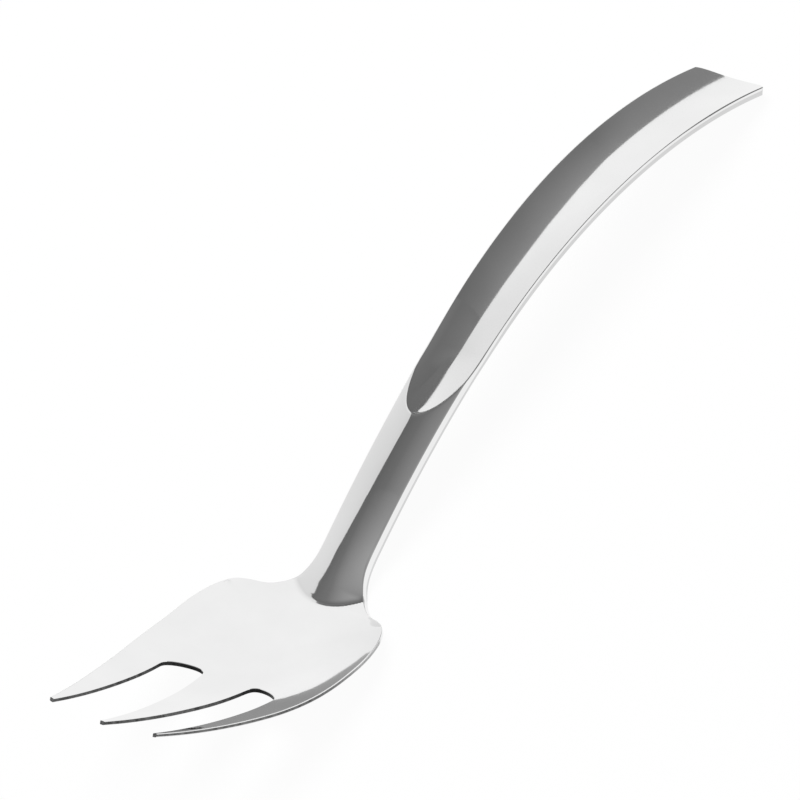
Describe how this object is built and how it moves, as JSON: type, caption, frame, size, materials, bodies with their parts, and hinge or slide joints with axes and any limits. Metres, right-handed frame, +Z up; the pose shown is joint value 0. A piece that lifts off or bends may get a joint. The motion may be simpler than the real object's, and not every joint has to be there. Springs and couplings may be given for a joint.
{
  "type": "serving fork",
  "caption": "One-piece pressed stainless steel serving fork with a wide dished head, tapered tines, a crowned neck and an arched handle pressed into a shallow trough.",
  "frame": {"origin": "on the table, under the middle of the fork's bounding box, with the fork lying on its heel and on the end of its handle", "axes": "+X along the fork from the tips of the tines to the end of the handle, +Y across it, +Z up, with the dished face of the head upward"},
  "size_m": [0.2488, 0.0514, 0.0369],
  "materials": {
    "polished_steel": "mirror-polished stainless steel, with raw punched walls in the two slots"
  },
  "bodies": {
    "root": {"fork": "polished_steel"}
  },
  "joints": []
}
